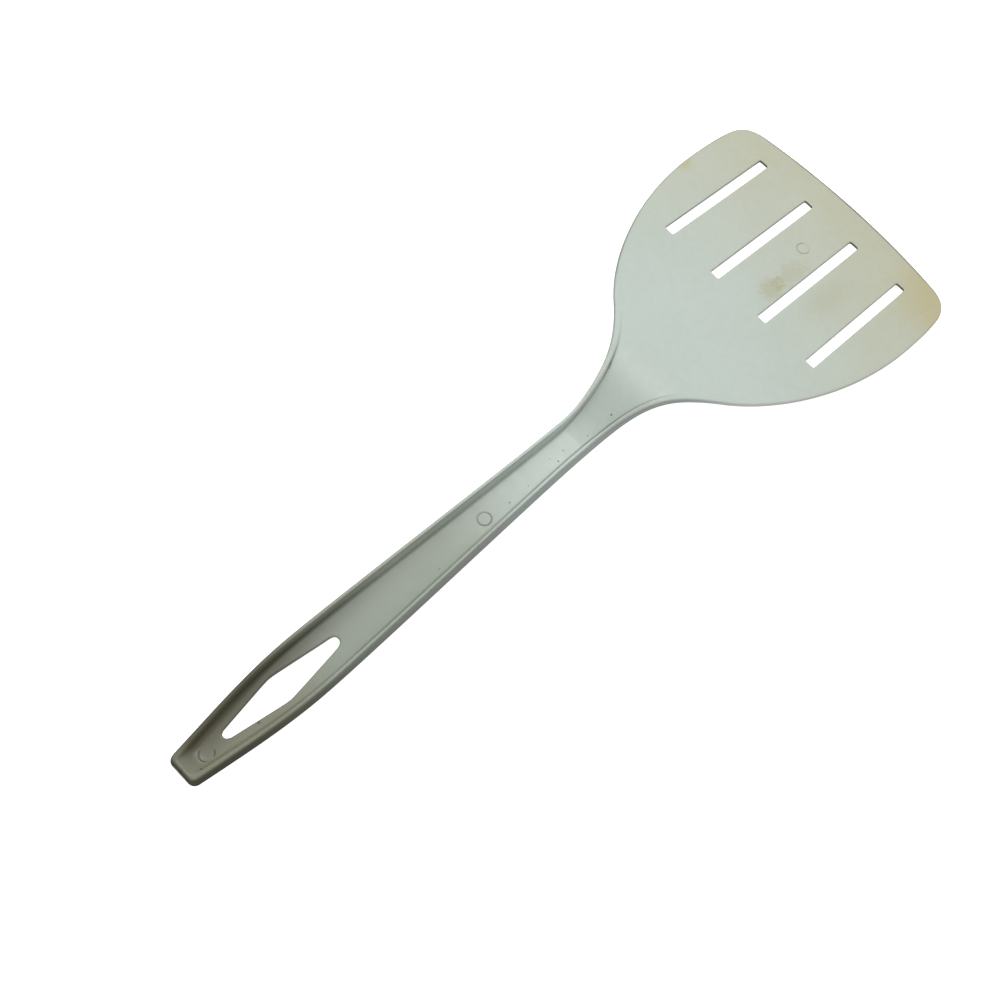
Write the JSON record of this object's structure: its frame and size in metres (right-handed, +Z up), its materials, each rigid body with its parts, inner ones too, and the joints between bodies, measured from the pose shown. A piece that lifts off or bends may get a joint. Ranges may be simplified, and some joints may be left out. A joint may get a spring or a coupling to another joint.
{
  "type": "slotted spatula",
  "caption": "Moulded plastic turner with a fan-shaped slotted blade, a cranked neck and a channel handle with a diamond-shaped hang hole.",
  "frame": {"origin": "middle of the footprint, at table height, with the turner lying channel side up on its tail and its front edge", "axes": "+X from the tail of the handle to the tip of the blade, +Y to the left, +Z up"},
  "size_m": [0.3038, 0.0996, 0.0192],
  "materials": {
    "moulded_plastic": "satin"
  },
  "bodies": {
    "root": {"handle_web": "moulded_plastic", "neck": "moulded_plastic", "blade": "moulded_plastic", "tail_wall": "moulded_plastic", "left_handle_rim": "moulded_plastic", "left_shoulder_rim": "moulded_plastic", "right_handle_rim": "moulded_plastic", "right_shoulder_rim": "moulded_plastic"}
  },
  "joints": []
}
